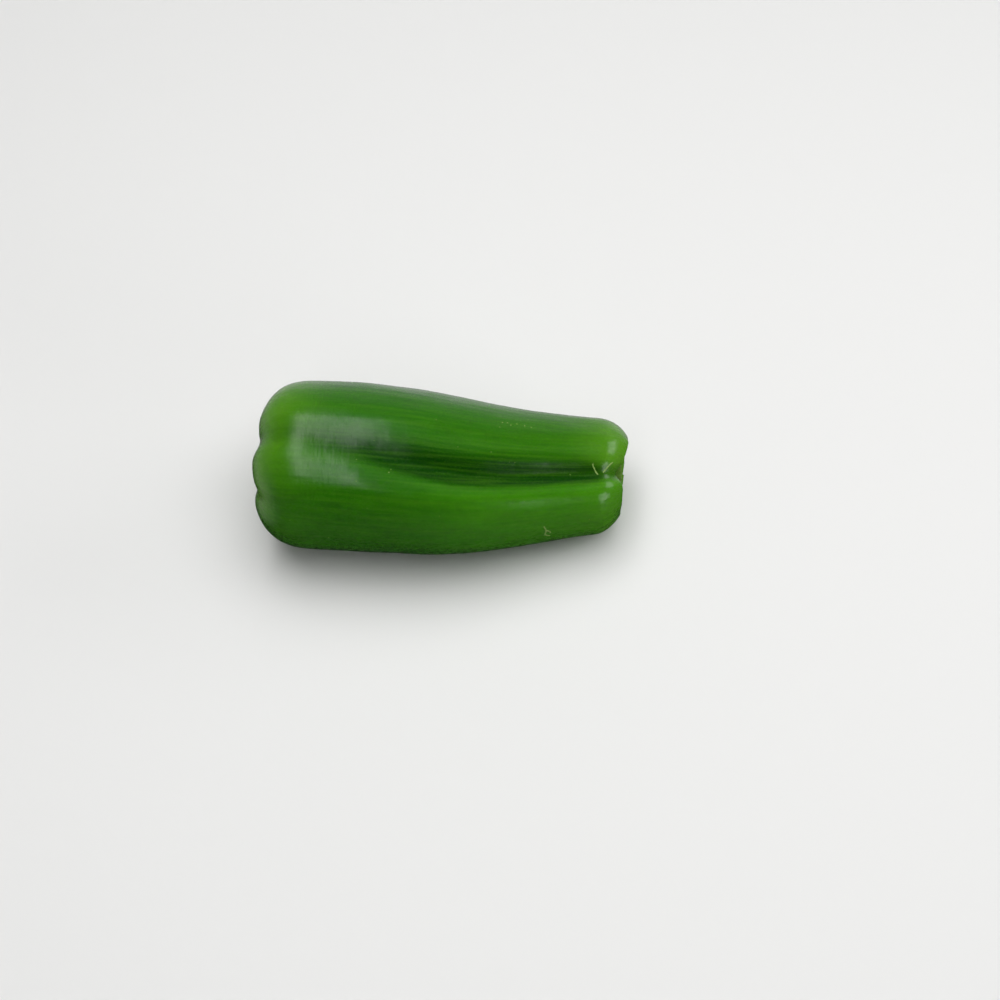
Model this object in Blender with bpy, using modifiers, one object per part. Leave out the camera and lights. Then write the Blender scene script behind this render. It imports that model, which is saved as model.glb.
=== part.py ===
"""A long green bell pepper lying on its side: the fruit, its calyx and its cut stem.

The fruit's axis runs along X, from the blossom end to the stem end. An angle round that axis starts
at +Y and turns towards +Z. Lengths are in metres.
"""

import math
from typing import NamedTuple

import bmesh
import bpy
from mathutils import Matrix, Vector
from mathutils.bvhtree import BVHTree

# Overall sizes of the fruit
LENGTH = 0.1588
BLOSSOM_RADIUS = 0.0356
STEM_RADIUS = 0.0247
TAPER_START = 0.35  # shares of the length between which the fruit narrows towards its stem
TAPER_END = 1.0
STRAIGHT_UNDERSIDE = 0.97  # share of the taper that is taken off the top, so that the fruit lies flat
BEND = 0.005  # how far the fruit bulges sideways, towards -Y
BEND_PEAK = 0.55  # share of the length where it bulges most

# Blossom end
BLOSSOM_ROUNDING = 0.0245  # how far along the axis the end curves in
BLOSSOM_SQUARENESS = 2.8  # exponent of the end's superellipse
BLOSSOM_DIMPLE = 0.0045
BLOSSOM_DIMPLE_EDGE = 0.65  # share of the radius that the dimple takes up
BLOSSOM_GROOVE_DROP = 0.0090
BLOSSOM_TILT = 0.0062
BLOSSOM_TILT_ANGLE = math.radians(127)

# Stem end
STEM_ROUNDING = 0.0170
STEM_SQUARENESS = 2.2
CAVITY_DEPTH = 0.0165
CAVITY_FLOOR = 0.30  # share of the radius that is flat floor
CAVITY_CREST = 0.70  # share of the radius where the shoulders are highest
SHOULDER_GROOVE_DROP = 0.0105
SHOULDER_TILT = 0.0040
SHOULDER_TILT_ANGLE = math.radians(12)

# Lobes: how deep the grooves between them cut, as shares of the radius
GROOVE_DEPTH_BLOSSOM = 0.20
GROOVE_DEPTH_MIDDLE = 0.15
GROOVE_DEPTH_STEM = 0.27
LOBE_FULLNESS = 1.5  # how soon the skin is back at full height beside a groove
FOLD_DEPTH = 0.13  # how much deeper the top groove folds in, as a share of the radius
FOLD_SHARPNESS = 6.0
FOLD_START, FOLD_FULL = 0.05, 0.55  # shares of the length over which the fold sets in
FOLD_FADE, FOLD_END = 0.84, 0.97  # and over which it ends, before the shoulders

# The flat spot that the fruit's weight presses where it lies
SEAT_DEPTH = 0.0005

# Calyx and stem
CALYX_RADIUS = 0.0090
CALYX_THICKNESS = 0.0014
CALYX_POINTS = 5
CALYX_POINT_SHARE = 0.22  # how far the points reach past the mean edge
STEM_LENGTH = 0.0070
STEM_ROOT_RADIUS = 0.0050
STEM_WAIST_RADIUS = 0.0036
STEM_CUT_RADIUS = 0.0041
STEM_RIBS = 5
STEM_RIB_HEIGHT = 0.0004
STEM_BOW = 0.0008  # how far the cut end leans to the side
CLEARANCE = 0.0003  # kept between pieces that touch

# Mesh density
FRUIT_SEGMENTS = 40
FRUIT_RINGS = 28
SUBDIVISIONS = 1
BLOSSOM_CAP_RINGS = 0.25  # share of the rings spent on each rounded end
STEM_CAP_RINGS = 0.30
CALYX_SEGMENTS = 40
CALYX_RINGS = 14
STEM_SEGMENTS = 30
STEM_CUTS = 7


class Groove(NamedTuple):
    """A furrow between two lobes: where it runs, in degrees, and how soft its bottom is.

    A positive lean makes its wall steeper on the side of the larger angles.
    """

    blossom_angle: float
    stem_angle: float
    lean: float
    blossom_softness: float
    middle_softness: float
    stem_softness: float


GROOVES = (
    Groove(102, 122, 0.45, 0.20, 0.08, 0.10),
    Groove(157, 176, 0.0, 0.18, 0.75, 1.00),
    Groove(268, 262, 0.0, 0.10, 0.16, 0.12),
    Groove(4, 5, 0.0, 0.10, 0.40, 0.12),
)
TOP_GROOVE = GROOVES[0]
TWIST_START, TWIST_END = 0.0, 0.60  # shares of the length between which the grooves swing round


def mix(a, b, share):
    return a + (b - a) * share


def smoothstep(start, end, value):
    share = min(1.0, max(0.0, (value - start) / (end - start)))
    return share * share * (3 - 2 * share)


def blossom_to_stem(at_blossom, in_middle, at_stem, along):
    """A value that changes along the fruit, through a middle value."""
    if along < 0.5:
        return mix(at_blossom, in_middle, smoothstep(0.0, 0.5, along))
    return mix(in_middle, at_stem, smoothstep(0.5, 1.0, along))


def groove_distance(groove, along, angle):
    """How far round the fruit a point is from a groove, softened near zero."""
    twist = smoothstep(TWIST_START, TWIST_END, along)
    groove_angle = math.radians(mix(groove.blossom_angle, groove.stem_angle, twist))
    softness = blossom_to_stem(
        groove.blossom_softness, groove.middle_softness, groove.stem_softness, along
    )
    chord = 2 * math.sin(math.remainder(angle - groove_angle, math.tau) / 2)
    return math.hypot(chord, softness) + groove.lean * chord


def lobe_height(along, angle):
    """0 in the bottom of a sharp groove and 1 on the back of a wide lobe."""
    product = math.prod(groove_distance(groove, along, angle) for groove in GROOVES)
    return 1 - math.exp(-LOBE_FULLNESS * product)


def top_fold(along, angle):
    """1 in the bottom of the fold between the two top lobes, 0 away from it."""
    sharp = math.exp(-FOLD_SHARPNESS * groove_distance(TOP_GROOVE, along, angle))
    return sharp * smoothstep(FOLD_START, FOLD_FULL, along) * (1 - smoothstep(FOLD_FADE, FOLD_END, along))


def side_radius(along):
    return mix(BLOSSOM_RADIUS, STEM_RADIUS, smoothstep(TAPER_START, TAPER_END, along))


def axis_point(along):
    """The middle of the fruit's section, lower where the fruit is thinner."""
    drop = STRAIGHT_UNDERSIDE * (BLOSSOM_RADIUS - side_radius(along))
    bow = math.sin(math.pi * along ** (math.log(0.5) / math.log(BEND_PEAK))) ** 2
    return Vector((0.0, -BEND * bow, -drop))


def rounded_end(share, squareness):
    """A superellipse from its pole (share 0) to its side (share 1), in nearly even steps.

    Returns how far out from the axis it is, and how near it still is to the pole.
    """
    spread = squareness / 2
    turn = math.pi / 2 * share ** spread / (share ** spread + (1 - share) ** spread)
    return math.sin(turn) ** (1 / spread), max(0.0, math.cos(turn)) ** (1 / spread)


def skin_point(ring, angle):
    """A point of the skin. ring runs from 0 at the blossom end's middle to 1 at the cavity's."""
    blossom_out, blossom_end = rounded_end(min(1.0, ring / BLOSSOM_CAP_RINGS), BLOSSOM_SQUARENESS)
    stem_out, stem_end = rounded_end(min(1.0, (1 - ring) / STEM_CAP_RINGS), STEM_SQUARENESS)
    side = (ring - BLOSSOM_CAP_RINGS) / (1 - BLOSSOM_CAP_RINGS - STEM_CAP_RINGS)
    side = min(1.0, max(0.0, side))
    out = blossom_out * stem_out

    x = BLOSSOM_ROUNDING * (1 - blossom_end) + STEM_ROUNDING * stem_end
    x += (LENGTH - BLOSSOM_ROUNDING - STEM_ROUNDING) * side
    along = x / LENGTH
    height = lobe_height(along, angle)

    dimple = BLOSSOM_DIMPLE * (1 - smoothstep(0.0, BLOSSOM_DIMPLE_EDGE, out))
    dimple += BLOSSOM_GROOVE_DROP * (1 - height) * smoothstep(0.05, 0.5, out)
    dimple -= BLOSSOM_TILT * out * math.cos(angle - BLOSSOM_TILT_ANGLE)
    cavity = CAVITY_DEPTH * (1 - smoothstep(CAVITY_FLOOR, CAVITY_CREST, out))
    cavity += SHOULDER_GROOVE_DROP * (1 - height) * smoothstep(CAVITY_FLOOR, CAVITY_CREST, out)
    cavity -= SHOULDER_TILT * out * math.cos(angle - SHOULDER_TILT_ANGLE)
    x += dimple * blossom_end - cavity * stem_end

    depth = blossom_to_stem(GROOVE_DEPTH_BLOSSOM, GROOVE_DEPTH_MIDDLE, GROOVE_DEPTH_STEM, along)
    sunken = depth * (1 - height) + FOLD_DEPTH * top_fold(along, angle)
    radius = out * side_radius(along) * (1 - sunken)
    centre = axis_point(along)
    return Vector((x, centre.y + radius * math.cos(angle), centre.z + radius * math.sin(angle)))


def finished_surface(made):
    """The object's surface with its modifiers, in its own frame, for seating the next piece on it."""
    bpy.context.view_layer.update()
    return BVHTree.FromObject(made, bpy.context.evaluated_depsgraph_get())


def surface_x(surface, y, z):
    """Where a line coming down the axis from beyond the stem meets the surface."""
    start = Vector((2 * LENGTH, y, z))
    hit = surface.ray_cast(start, Vector((-1, 0, 0)))
    return hit[0].x


def sphere_mesh(name, segments, rings, place):
    """A sphere with its poles on X, each vertex moved to place(share from pole to pole, angle)."""
    mesh = bpy.data.meshes.new(name)
    ball = bmesh.new()
    bmesh.ops.create_uvsphere(ball, u_segments=segments, v_segments=rings, radius=1.0)
    for vertex in ball.verts:
        share = 1 - math.acos(max(-1.0, min(1.0, vertex.co.z))) / math.pi
        vertex.co = place(share, math.atan2(vertex.co.y, vertex.co.x))
    ball.to_mesh(mesh)
    ball.free()
    mesh.shade_smooth()
    return mesh


def material(name, color, roughness):
    made = bpy.data.materials.new(name)
    made.use_nodes = True
    shader = made.node_tree.nodes["Principled BSDF"]
    shader.inputs["Base Color"].default_value = (*color, 1.0)
    shader.inputs["Roughness"].default_value = roughness
    shader.inputs["Metallic"].default_value = 0.0
    return made


def add_object(name, mesh, collection, parent=None):
    made = bpy.data.objects.new(name, mesh)
    collection.objects.link(made)
    made.parent = parent
    return made


def make_fruit(collection, cutters, parent):
    """The lobed fruit, laid with its lowest point just under the surface and cut flat there."""
    mesh = sphere_mesh("fruit", FRUIT_SEGMENTS, FRUIT_RINGS, skin_point)
    mesh.materials.append(material("skin", (0.045, 0.16, 0.012), 0.3))
    fruit = add_object("fruit", mesh, collection, parent)
    smooth = fruit.modifiers.new("smooth", "SUBSURF")
    smooth.levels = SUBDIVISIONS
    smooth.render_levels = SUBDIVISIONS
    bpy.context.view_layer.update()
    corners = fruit.evaluated_get(bpy.context.evaluated_depsgraph_get()).bound_box
    lowest, highest = Vector(corners[0]), Vector(corners[6])
    middle = (lowest + highest) / 2
    parent.location = (-middle.x, -middle.y, -lowest.z - SEAT_DEPTH)

    cutter_mesh = bpy.data.meshes.new("seat_cutter")
    block = bmesh.new()
    bmesh.ops.create_cube(block, size=2 * LENGTH)
    block.to_mesh(cutter_mesh)
    block.free()
    cutter = add_object("seat_cutter", cutter_mesh, cutters)
    cutter.location = (0, 0, -LENGTH)
    cutter.hide_render = True
    cutter.display_type = "WIRE"
    seat = fruit.modifiers.new("seat", "BOOLEAN")
    seat.operation = "DIFFERENCE"
    seat.solver = "EXACT"
    seat.object = cutter
    return fruit


def make_calyx(collection, parent, fruit):
    """A flattened ball with pointed edges, bent onto the floor of the fruit's cavity."""
    skin = finished_surface(fruit)
    middle = axis_point(1.0)

    def place(share, angle):
        reach = CALYX_RADIUS * (1 + CALYX_POINT_SHARE * math.cos(CALYX_POINTS * angle))
        radius = reach * math.sin(math.pi * share)
        above_underside = CALYX_THICKNESS * (1 - math.cos(math.pi * share)) / 2
        y = middle.y + radius * math.cos(angle)
        z = middle.z + radius * math.sin(angle)
        return Vector((surface_x(skin, y, z) + CLEARANCE + above_underside, y, z))

    mesh = sphere_mesh("calyx", CALYX_SEGMENTS, CALYX_RINGS, place)
    mesh.materials.append(material("calyx", (0.10, 0.20, 0.035), 0.6))
    return add_object("calyx", mesh, collection, parent)


def stem_place(point):
    """A cylinder's vertex moved onto the flared, ribbed and bowed stem, whose root is at the origin."""
    up = point.z / STEM_LENGTH + 0.5
    radius = mix(STEM_ROOT_RADIUS, STEM_WAIST_RADIUS, smoothstep(0.0, 0.45, up))
    radius += (STEM_CUT_RADIUS - STEM_WAIST_RADIUS) * smoothstep(0.55, 1.0, up)
    angle = math.atan2(point.y, point.x)
    radius += STEM_RIB_HEIGHT * math.cos(STEM_RIBS * angle)
    radius *= math.hypot(point.x, point.y) / STEM_ROOT_RADIUS
    return Vector((radius * math.cos(angle) + STEM_BOW * up ** 2, radius * math.sin(angle), up * STEM_LENGTH))


def make_stem(collection, parent, calyx):
    """The stem, with its whole root clear of the calyx that it grows from."""
    mesh = bpy.data.meshes.new("stem")
    post = bmesh.new()
    bmesh.ops.create_cone(
        post,
        cap_ends=True,
        segments=STEM_SEGMENTS,
        radius1=STEM_ROOT_RADIUS,
        radius2=STEM_ROOT_RADIUS,
        depth=STEM_LENGTH,
    )
    walls = [edge for edge in post.edges if abs(edge.verts[0].co.z - edge.verts[1].co.z) > STEM_LENGTH / 2]
    bmesh.ops.subdivide_edges(post, edges=walls, cuts=STEM_CUTS, use_grid_fill=True)
    for vertex in post.verts:
        vertex.co = stem_place(vertex.co)
    post.to_mesh(mesh)
    post.free()
    mesh.shade_smooth()
    mesh.set_sharp_from_angle(angle=math.radians(50))
    mesh.materials.append(material("stem", (0.22, 0.32, 0.07), 0.6))
    stem = add_object("stem", mesh, collection, parent)

    top = finished_surface(calyx)
    root = axis_point(1.0)
    root_reach = STEM_ROOT_RADIUS + STEM_RIB_HEIGHT
    edge_angles = [math.tau * step / STEM_SEGMENTS for step in range(STEM_SEGMENTS)]
    root.x = CLEARANCE + max(
        surface_x(top, root.y + root_reach * math.cos(angle), root.z + root_reach * math.sin(angle))
        for angle in edge_angles
    )
    stem.matrix_local = Matrix.Translation(root) @ Matrix.Rotation(math.pi / 2, 4, "Y")


def main():
    for old in list(bpy.data.objects):
        bpy.data.objects.remove(old)
    pepper = bpy.data.collections.new("bell_pepper")
    cutters = bpy.data.collections.new("cutters")
    for collection in (pepper, cutters):
        bpy.context.scene.collection.children.link(collection)
    fruit_frame = add_object("fruit_frame", None, pepper)
    fruit = make_fruit(pepper, cutters, fruit_frame)
    calyx = make_calyx(pepper, fruit_frame, fruit)
    make_stem(pepper, fruit_frame, calyx)


main()
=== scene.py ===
# %% [markdown]
# # A long green bell pepper
#
# This notebook gives a packed pepper model its looks. The model already says where everything is and
# how large it is. What it lacks is a skin: fine grooves, waxy shine, scars and colour. We load it first
# and keep its box.

# %% Load the frame
import math

import bpy
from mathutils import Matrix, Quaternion, Vector
from mathutils.bvhtree import BVHTree


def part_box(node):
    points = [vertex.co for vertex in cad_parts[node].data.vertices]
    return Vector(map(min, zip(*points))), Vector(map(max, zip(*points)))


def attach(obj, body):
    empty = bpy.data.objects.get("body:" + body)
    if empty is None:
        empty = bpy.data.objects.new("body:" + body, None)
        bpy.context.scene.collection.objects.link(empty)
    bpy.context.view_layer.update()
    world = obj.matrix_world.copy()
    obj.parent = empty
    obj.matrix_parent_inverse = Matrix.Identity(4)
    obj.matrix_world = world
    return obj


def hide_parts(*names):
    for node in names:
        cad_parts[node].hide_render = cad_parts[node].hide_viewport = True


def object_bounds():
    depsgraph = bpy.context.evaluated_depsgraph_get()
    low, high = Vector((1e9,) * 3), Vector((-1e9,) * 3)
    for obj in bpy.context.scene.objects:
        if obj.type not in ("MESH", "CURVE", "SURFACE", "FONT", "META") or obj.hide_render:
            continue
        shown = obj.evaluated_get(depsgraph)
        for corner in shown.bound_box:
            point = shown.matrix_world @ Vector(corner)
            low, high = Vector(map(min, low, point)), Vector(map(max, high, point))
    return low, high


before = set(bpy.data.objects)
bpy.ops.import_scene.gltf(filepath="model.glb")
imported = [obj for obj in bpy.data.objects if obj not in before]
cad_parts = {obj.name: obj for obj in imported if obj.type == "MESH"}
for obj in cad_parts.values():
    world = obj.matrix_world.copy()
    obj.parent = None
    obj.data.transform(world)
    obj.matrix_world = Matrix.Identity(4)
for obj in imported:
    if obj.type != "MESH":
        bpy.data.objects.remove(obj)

CAD_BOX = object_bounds()
print("box of the model in mm:", [[round(1000 * value, 1) for value in corner] for corner in CAD_BOX])


# %% [markdown]
# ## Arithmetic that builds nodes
#
# A fruit's shape follows a rule, and a rule in Geometry Nodes is mostly Math nodes. Placing hundreds of
# them by hand hides the formula. So we wrap a socket in a small class called `Wire` whose `+`, `-`, `*`
# and `/` each add a Math node. The formula then reads like one, and the tree is still an ordinary tree.
# The same class works in shader trees, because they share the Math node.

# %% Wires and nodes
def plug(tree, value, socket):
    """Puts a wire or a plain value into a node's input."""
    if isinstance(value, Wire):
        tree.links.new(value.socket, socket)
    else:
        socket.default_value = value


def add_node(tree, kind, inputs=None, **settings):
    """Adds a node, sets its options, then fills its inputs by name or number."""
    node = tree.nodes.new(kind)
    for name, value in settings.items():
        setattr(node, name, value)
    for name, value in (inputs or {}).items():
        plug(tree, value, node.inputs[name])
    return node


def calculate(operation, *values):
    """One Math node on wires and numbers."""
    tree = next(value.tree for value in values if isinstance(value, Wire))
    return flow(tree, "ShaderNodeMath", dict(enumerate(values)), operation=operation)


def flow(tree, kind, inputs=None, **settings):
    """The first output of a new node, as a wire."""
    return Wire(tree, add_node(tree, kind, inputs, **settings).outputs[0])


class Wire:
    """A value that flows through a node tree."""

    def __init__(self, tree, socket):
        self.tree = tree
        self.socket = socket

    def __add__(self, other):
        return calculate("ADD", self, other)

    def __radd__(self, other):
        return calculate("ADD", other, self)

    def __sub__(self, other):
        return calculate("SUBTRACT", self, other)

    def __rsub__(self, other):
        return calculate("SUBTRACT", other, self)

    def __mul__(self, other):
        return calculate("MULTIPLY", self, other)

    def __rmul__(self, other):
        return calculate("MULTIPLY", other, self)

    def __truediv__(self, other):
        return calculate("DIVIDE", self, other)

    def __rtruediv__(self, other):
        return calculate("DIVIDE", other, self)

    def __pow__(self, other):
        return calculate("POWER", self, other)


# %% [markdown]
# Three more helpers are worth having. `smoothstep` is the soft switch that every organic blend here
# uses, `mix` goes from one value to another, and `vector_math` does for places what `calculate` does for
# numbers.

# %% Blends and vectors
def mix(first, second, share):
    return first + (second - first) * share


def smoothstep(value, start, end, low=0.0, high=1.0):
    """Goes from low to high, with no corner, while value goes from start to end."""
    limits = {"Value": value, "From Min": start, "From Max": end, "To Min": low, "To Max": high}
    node = add_node(value.tree, "ShaderNodeMapRange", limits, interpolation_type="SMOOTHSTEP")
    return Wire(value.tree, node.outputs["Result"])


def vector_math(operation, *values):
    """One Vector Math node. A tuple is a constant vector."""
    tree = next(value.tree for value in values if isinstance(value, Wire))
    node = add_node(tree, "ShaderNodeVectorMath", dict(enumerate(values)), operation=operation)
    wanted = "Value" if operation in ("LENGTH", "DISTANCE", "DOT_PRODUCT") else "Vector"
    return Wire(tree, node.outputs[wanted])


def vector(tree, x, y, z):
    return flow(tree, "ShaderNodeCombineXYZ", {"X": x, "Y": y, "Z": z})


def split(value):
    """The x, y and z of a vector."""
    node = add_node(value.tree, "ShaderNodeSeparateXYZ", {"Vector": value})
    return [Wire(value.tree, socket) for socket in node.outputs]


def noise(place, size, seed, detail=2.0):
    """Smooth noise from -0.5 to 0.5 whose bumps have this size along x, y and z."""
    shrink = tuple(1 / length for length in size)
    inputs = {"Vector": vector_math("MULTIPLY", place, shrink), "W": seed, "Scale": 1.0, "Detail": detail}
    return flow(place.tree, "ShaderNodeTexNoise", inputs, noise_dimensions="4D") - 0.5


# %% [markdown]
# ## Trees, groups and their sockets
#
# A Geometry Nodes modifier is driven through its tree's input sockets. `new_tree` makes a tree with
# named sockets, `use_group` places one tree inside another, and `grow` runs a tree on an empty mesh and
# keeps the result as a plain mesh. A modifier knows its inputs by identifier, not by name, so `grow`
# looks the identifiers up.

# %% Make and run node trees
def new_tree(name, kind, inputs, outputs):
    """A tree, its inputs as wires by name, and its output node. Inputs map a name to (type, default)."""
    tree = bpy.data.node_groups.new(name, kind)
    for label, (socket_type, default) in inputs.items():
        socket = tree.interface.new_socket(label, in_out="INPUT", socket_type="NodeSocket" + socket_type)
        if default is not None:
            socket.default_value = default
    for label, socket_type in outputs.items():
        tree.interface.new_socket(label, in_out="OUTPUT", socket_type="NodeSocket" + socket_type)
    entry = tree.nodes.new("NodeGroupInput")
    wires = {socket.name: Wire(tree, socket) for socket in entry.outputs if socket.name}
    return tree, wires, tree.nodes.new("NodeGroupOutput")


def use_group(tree, group, inputs):
    """Places a group in a tree and gives its outputs as wires by name."""
    kind = "GeometryNodeGroup" if group.bl_idname == "GeometryNodeTree" else "ShaderNodeGroup"
    node = add_node(tree, kind, inputs, node_tree=group)
    return {socket.name: Wire(tree, socket) for socket in node.outputs}


def grow(name, tree, values, seedling=None):
    """Runs a Geometry Nodes tree on an object and keeps the result as a plain mesh."""
    source = seedling or bpy.data.meshes.new(name + "_seedling")
    piece = bpy.data.objects.new(name, source)
    bpy.context.scene.collection.objects.link(piece)
    modifier = piece.modifiers.new("grow", "NODES")
    modifier.node_group = tree
    sockets = {item.name: item.identifier for item in tree.interface.items_tree if item.in_out == "INPUT"}
    for label, value in values.items():
        modifier[sockets[label]] = value
    depsgraph = bpy.context.evaluated_depsgraph_get()
    grown = piece.evaluated_get(depsgraph)
    mesh = bpy.data.meshes.new_from_object(grown, preserve_all_data_layers=True, depsgraph=depsgraph)
    bpy.data.objects.remove(piece)
    mesh.name = name
    piece = bpy.data.objects.new(name, mesh)
    bpy.context.scene.collection.objects.link(piece)
    triangles = sum(len(face.vertices) - 2 for face in mesh.polygons)
    sides = ", ".join(f"{1000 * side:.1f}" for side in piece.dimensions)
    print(f"{name}: {triangles} triangles, {sides} mm")
    return piece


# %% [markdown]
# ## Where a point sits on a round body
#
# The fruit, the calyx and the stem are all closed, roundish bodies with a long axis. A UV sphere is a
# good start for each: it is closed, and every vertex already has a natural address, which is how far it
# is from pole to pole and which way round it lies. `ball` stores that address on the mesh. Each body
# then needs only a rule that turns an address into a place.
#
# `Rounded End` is the rule for a blunt tip: a superellipse, which is a circle whose corners can be made
# squarer. The share is warped first, so that the rings stay evenly spaced round the corner.

# %% Addressed ball and rounded end
def stored(tree, name, kind="FLOAT"):
    """Reads a named attribute of the mesh."""
    node = add_node(tree, "GeometryNodeInputNamedAttribute", {"Name": name}, data_type=kind)
    return Wire(tree, node.outputs["Attribute"])


def store(geometry, name, value, kind="FLOAT"):
    """Keeps a value on each vertex under a name."""
    inputs = {"Geometry": geometry, "Name": name, "Value": value}
    return flow(geometry.tree, "GeometryNodeStoreNamedAttribute", inputs, data_type=kind, domain="POINT")


def position(tree):
    return flow(tree, "GeometryNodeInputPosition")


def ball(tree, segments, rings):
    """A UV sphere that stores each vertex's share of the way from pole to pole and its angle."""
    sphere = add_node(tree, "GeometryNodeMeshUVSphere", {"Segments": segments, "Rings": rings})
    x, y, z = split(position(tree))
    share = 1 - calculate("ARCCOSINE", z) / math.pi
    geometry = store(Wire(tree, sphere.outputs["Mesh"]), "share", share)
    return store(geometry, "angle", calculate("ARCTAN2", y, x))


def set_place(geometry, place):
    return flow(geometry.tree, "GeometryNodeSetPosition", {"Geometry": geometry, "Position": place})


def scaled(direction, amount):
    result = vector_math("SCALE", direction)
    plug(direction.tree, amount, result.socket.node.inputs["Scale"])
    return result


def lift(geometry, height):
    """Moves the surface outwards along its normals."""
    offset = scaled(flow(geometry.tree, "GeometryNodeInputNormal"), height)
    return flow(geometry.tree, "GeometryNodeSetPosition", {"Geometry": geometry, "Offset": offset})


def finish_geometry(tree, geometry, material, result):
    """The last three nodes of every tree: smooth shading, real geometry and a material."""
    smooth = flow(tree, "GeometryNodeSetShadeSmooth", {"Geometry": geometry})
    whole = flow(tree, "GeometryNodeRealizeInstances", {"Geometry": smooth})
    paint = flow(tree, "GeometryNodeSetMaterial", {"Geometry": whole, "Material": material})
    plug(tree, paint, result.inputs["Geometry"])


def rounded_end_group():
    tree, given, result = new_tree(
        "Rounded End",
        "GeometryNodeTree",
        {"Share": ("Float", 0.0), "Squareness": ("Float", 2.0)},
        {"Out": "Float", "End": "Float"},
    )
    spread = given["Squareness"] / 2
    share = calculate("MINIMUM", calculate("MAXIMUM", given["Share"], 0.0), 1.0)
    turn = math.pi / 2 * share ** spread / (share ** spread + (1 - share) ** spread)
    plug(tree, calculate("SINE", turn) ** (1 / spread), result.inputs["Out"])
    plug(tree, calculate("MAXIMUM", calculate("COSINE", turn), 0.0) ** (1 / spread), result.inputs["End"])
    return tree


ROUNDED_END = rounded_end_group()
print("group made:", ROUNDED_END.name)


# %% [markdown]
# ## The lobes
#
# A bell pepper grows as three or four chambers, and each chamber swells into a lobe. Between two lobes
# the skin is tied to an inner wall, so it stays back in a groove. The group `Groove` measures how far a
# point is from one groove. Near zero the distance is softened, which rounds the groove's bottom, and a
# lean makes one wall steeper than the other. Multiplying the four distances gives one number that is
# small in every groove and large on the back of every lobe.

# %% The groove group
def blossom_to_stem(at_blossom, in_middle, at_stem, along):
    """A value that changes along the fruit, through a middle value."""
    first_half = mix(at_blossom, in_middle, smoothstep(along, 0.0, 0.5))
    return mix(first_half, at_stem, smoothstep(along, 0.5, 1.0))


def groove_group():
    tree, given, result = new_tree(
        "Groove",
        "GeometryNodeTree",
        {
            "Along": ("Float", 0.0),
            "Angle": ("Float", 0.0),
            "Blossom Angle": ("Float", 0.0),
            "Stem Angle": ("Float", 0.0),
            "Lean": ("Float", 0.0),
            "Blossom Softness": ("Float", 0.1),
            "Middle Softness": ("Float", 0.1),
            "Stem Softness": ("Float", 0.1),
        },
        {"Distance": "Float"},
    )
    twist = smoothstep(given["Along"], 0.0, 0.60)
    groove_angle = mix(given["Blossom Angle"], given["Stem Angle"], twist) * (math.pi / 180)
    turned = calculate("WRAP", given["Angle"] - groove_angle, math.pi, -math.pi)
    chord = 2 * calculate("SINE", turned / 2)
    softness = blossom_to_stem(
        given["Blossom Softness"], given["Middle Softness"], given["Stem Softness"], given["Along"]
    )
    distance = calculate("SQRT", chord * chord + softness * softness) + given["Lean"] * chord
    plug(tree, distance, result.inputs["Distance"])
    return tree


GROOVE = groove_group()
GROOVES = [
    {"Blossom Angle": 102.0, "Stem Angle": 122.0, "Lean": 0.45, "Blossom Softness": 0.2,
     "Middle Softness": 0.08, "Stem Softness": 0.12},
    {"Blossom Angle": 157.0, "Stem Angle": 176.0, "Blossom Softness": 0.18, "Middle Softness": 0.75,
     "Stem Softness": 1.00},
    {"Blossom Angle": 268.0, "Stem Angle": 262.0, "Middle Softness": 0.16, "Stem Softness": 0.12},
    {"Blossom Angle": 4.0, "Stem Angle": 5.0, "Middle Softness": 0.40, "Stem Softness": 0.12},
]


def hollows(tree, along, angle, fullness):
    """How hollow the skin is, from 0 on a lobe's back to 1 in a groove, and the same for the top fold."""
    distances = []
    for groove in GROOVES:
        inputs = {"Along": along, "Angle": angle, **groove}
        distances.append(use_group(tree, GROOVE, inputs)["Distance"])
    product = fullness
    for distance in distances:
        product = product * distance
    fold = calculate("EXPONENT", distances[0] * -6.0) * smoothstep(along, 0.05, 0.55)
    return calculate("EXPONENT", product * -1), fold * smoothstep(along, 0.97, 0.84)


print(len(GROOVES), "grooves")


# %% [markdown]
# ## The fruit's rule
#
# The long shape is a tube with two rounded ends. It narrows towards the stem, bows a little to one side
# and keeps its underside straight, because it lies on it. The grooves pull the tube in, and at both ends
# they also pull it back along the axis, which leaves a rounded shoulder on every lobe. In the middle of
# the stem end is the deep dent that holds the stem, and in the middle of the blossom end a shallow one.
#
# The sizes are the tree's inputs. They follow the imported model's, with a finer mesh and a floor of the
# dent that meets the model's, so calyx and stem sit where the model has them.

# %% The fruit's sizes
FRUIT_SIZES = {
    "Length": 0.1588,
    "Blossom Radius": 0.0356,
    "Stem Radius": 0.0247,
    "Straight Underside": 0.97,
    "Bow": 0.005,
    "Blossom Rounding": 0.0245,
    "Blossom Squareness": 2.8,
    "Blossom Dimple": 0.0045,
    "Blossom Tilt": 0.0062,
    "Blossom Tilt Angle": 127.0,
    "Blossom Groove Drop": 0.0090,
    "Stem Rounding": 0.0170,
    "Stem Squareness": 2.2,
    "Cavity Depth": 0.0155,
    "Shoulder Tilt": 0.0040,
    "Shoulder Tilt Angle": 12.0,
    "Shoulder Groove Drop": 0.0105,
    "Groove Depth Blossom": 0.20,
    "Groove Depth Middle": 0.15,
    "Groove Depth Stem": 0.27,
    "Lobe Fullness": 1.5,
    "Fold Depth": 0.13,
    "Waist Drop": 0.0007,
    "Dent Height": 0.0013,
    "Rib Height": 0.00022,
    "Ripple Height": 0.00009,
    "Seed": 4.0,
}
SEAT_DEPTH = 0.0005
BLOSSOM_CAP = 0.25
STEM_CAP = 0.30


def side_radius(given, along):
    return mix(given["Blossom Radius"], given["Stem Radius"], smoothstep(along, 0.35, 1.0))


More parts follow.
